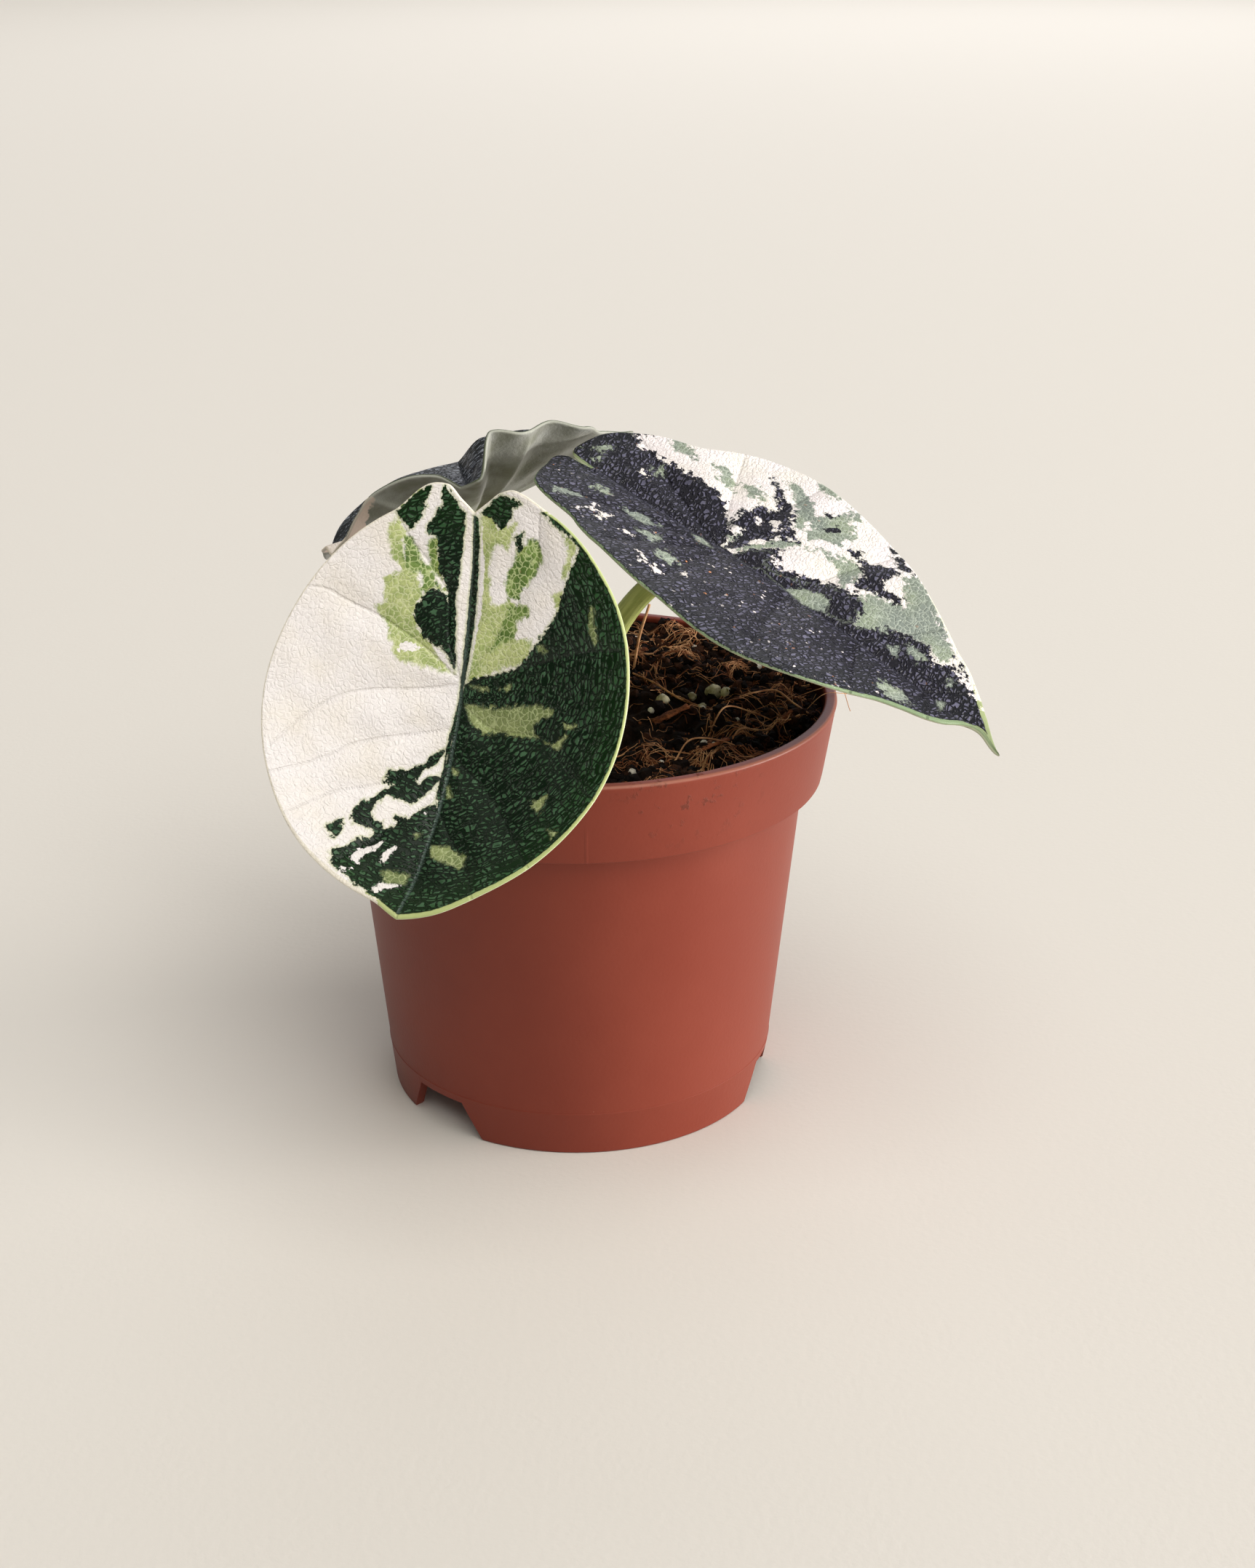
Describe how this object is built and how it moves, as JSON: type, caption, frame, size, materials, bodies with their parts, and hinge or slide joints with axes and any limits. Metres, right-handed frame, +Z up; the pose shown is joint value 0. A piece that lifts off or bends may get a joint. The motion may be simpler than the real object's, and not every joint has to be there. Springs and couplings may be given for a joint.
{
  "type": "potted variegated alocasia melo",
  "caption": "Small variegated alocasia with thick quilted, marbled leaves on arching stalks, growing in peat in a terracotta-coloured plastic nursery pot.",
  "frame": {"origin": "middle of the whole model's box at the height of the pot's foot; the pot's axis stands 11.9 mm to the -X side and 1.4 mm to the -Y side of it", "axes": "+Z up, -Y towards the front of the picture, +X to its right; the back leaf points to +Y"},
  "size_m": [0.1548, 0.1842, 0.1583],
  "materials": {
    "pot_plastic": "terracotta red satin moulded plastic",
    "peat": "dark moist peat with coir fibres, rough and matt",
    "crown": "green stem base with thin sheaths, slightly waxy",
    "stalk": "olive green leaf stalk, smooth and slightly waxy",
    "blade_front": "cream and dark green quilted leaf, satin",
    "blade_right": "slate and cream quilted leaf with a grey sheen, satin",
    "blade_back": "slate leaf with an olive ribbed underside, satin"
  },
  "bodies": {
    "root": {"pot": "pot_plastic", "soil": "peat", "stem_crown": "crown", "leaf_front_stalk": "stalk", "leaf_front_blade": "blade_front", "leaf_right_stalk": "stalk", "leaf_right_blade": "blade_right", "leaf_back_stalk": "stalk", "leaf_back_blade": "blade_back"}
  },
  "joints": []
}
